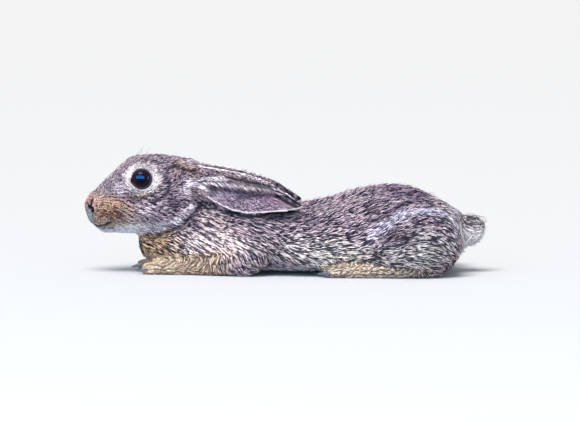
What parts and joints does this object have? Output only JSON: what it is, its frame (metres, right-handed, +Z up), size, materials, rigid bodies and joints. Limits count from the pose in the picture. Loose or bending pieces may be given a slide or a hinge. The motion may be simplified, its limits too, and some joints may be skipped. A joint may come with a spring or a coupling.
{
  "type": "cottontail rabbit, crouching",
  "caption": "Life-size wild cottontail rabbit crouched flat on the ground, chin low and long ears laid back along the neck.",
  "frame": {"origin": "on the floor, under the middle of the animal's box", "axes": "+Z up, the rabbit faces -X with its left side towards -Y"},
  "size_m": [0.2804, 0.1132, 0.0833],
  "materials": {
    "coat": "dense agouti fur, grey-brown ticked with cream and black",
    "ear": "thin skin with very short fur, purplish inside with a pale rim",
    "eye": "wet, dark brown with a black pupil",
    "claw": "dark horn, satin"
  },
  "bodies": {
    "root": {"head": "coat", "neck": "coat", "trunk": "coat", "tail": "coat", "foreleg_left": "coat", "forepaw_left": "coat", "thigh_left": "coat", "hindfoot_left": "coat", "foreleg_right": "coat", "forepaw_right": "coat", "thigh_right": "coat", "hindfoot_right": "coat", "ear_left": "ear", "ear_right": "ear", "eye_left": "eye", "eye_right": "eye", "claw_fore_left_1": "claw", "claw_fore_left_2": "claw", "claw_fore_left_3": "claw", "claw_fore_left_4": "claw", "claw_fore_right_1": "claw", "claw_fore_right_2": "claw", "claw_fore_right_3": "claw", "claw_fore_right_4": "claw", "claw_hind_left_1": "claw", "claw_hind_left_2": "claw", "claw_hind_left_3": "claw", "claw_hind_left_4": "claw", "claw_hind_right_1": "claw", "claw_hind_right_2": "claw", "claw_hind_right_3": "claw", "claw_hind_right_4": "claw"}
  },
  "joints": []
}
